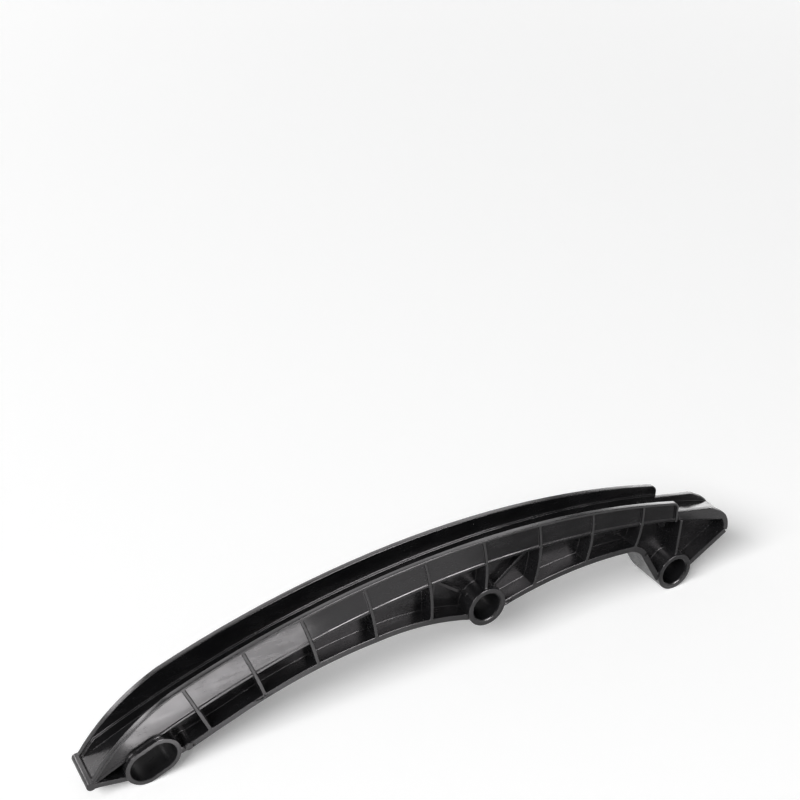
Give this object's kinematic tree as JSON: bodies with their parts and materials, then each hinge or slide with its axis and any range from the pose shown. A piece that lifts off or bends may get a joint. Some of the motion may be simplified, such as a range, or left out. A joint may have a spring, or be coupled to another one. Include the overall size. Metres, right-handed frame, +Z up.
{
  "type": "timing chain guide",
  "caption": "Curved moulded plastic chain guide rail with a lipped channel on top, ribbed sides, round bolt bosses and a slotted boss.",
  "frame": {"origin": "centre of the middle bore, half way across the rail", "axes": "+X along the rail from the slotted boss to the end boss, +Y across the rail to its mounting side, +Z up towards the chain channel"},
  "size_m": [0.2476, 0.0168, 0.0486],
  "materials": {
    "moulded_nylon": "semi-gloss black glass-filled nylon, as moulded"
  },
  "bodies": {
    "root": {"guide_rail": "moulded_nylon"}
  },
  "joints": []
}
